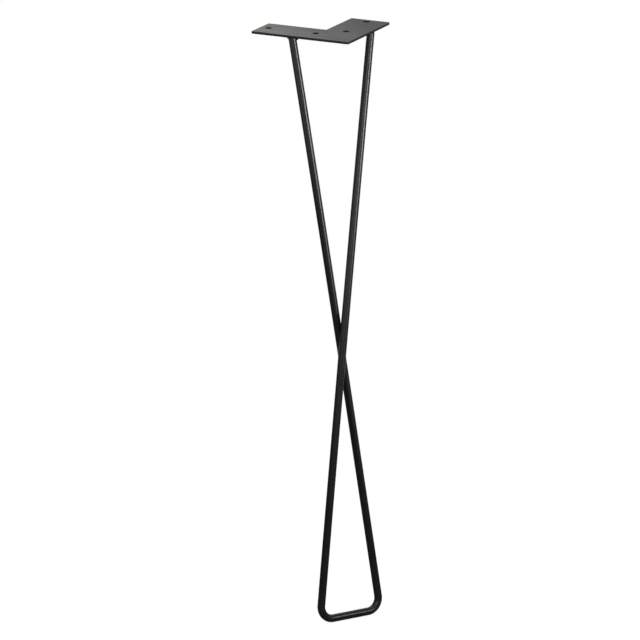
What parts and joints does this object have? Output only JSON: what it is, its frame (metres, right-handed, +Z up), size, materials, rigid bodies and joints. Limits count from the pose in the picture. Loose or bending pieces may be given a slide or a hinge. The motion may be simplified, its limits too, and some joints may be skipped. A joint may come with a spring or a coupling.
{
  "type": "hairpin table leg",
  "caption": "Table leg bent from a round bar whose runs cross above a short foot, welded under an L-shaped screw plate.",
  "frame": {"origin": "on the plate's mounting face, where the hole lines of the two arms cross", "axes": "+Z up out of the mounting face into the table top; the plate's arms run along -X and +Y; the leg hangs along -Z and leans towards +X and -Y"},
  "size_m": [0.186, 0.1962, 0.711],
  "materials": {
    "black_paint": "satin powder coat"
  },
  "bodies": {
    "root": {"mounting_plate": "black_paint", "bent_rod": "black_paint", "left_weld": "black_paint", "right_weld": "black_paint"}
  },
  "joints": []
}
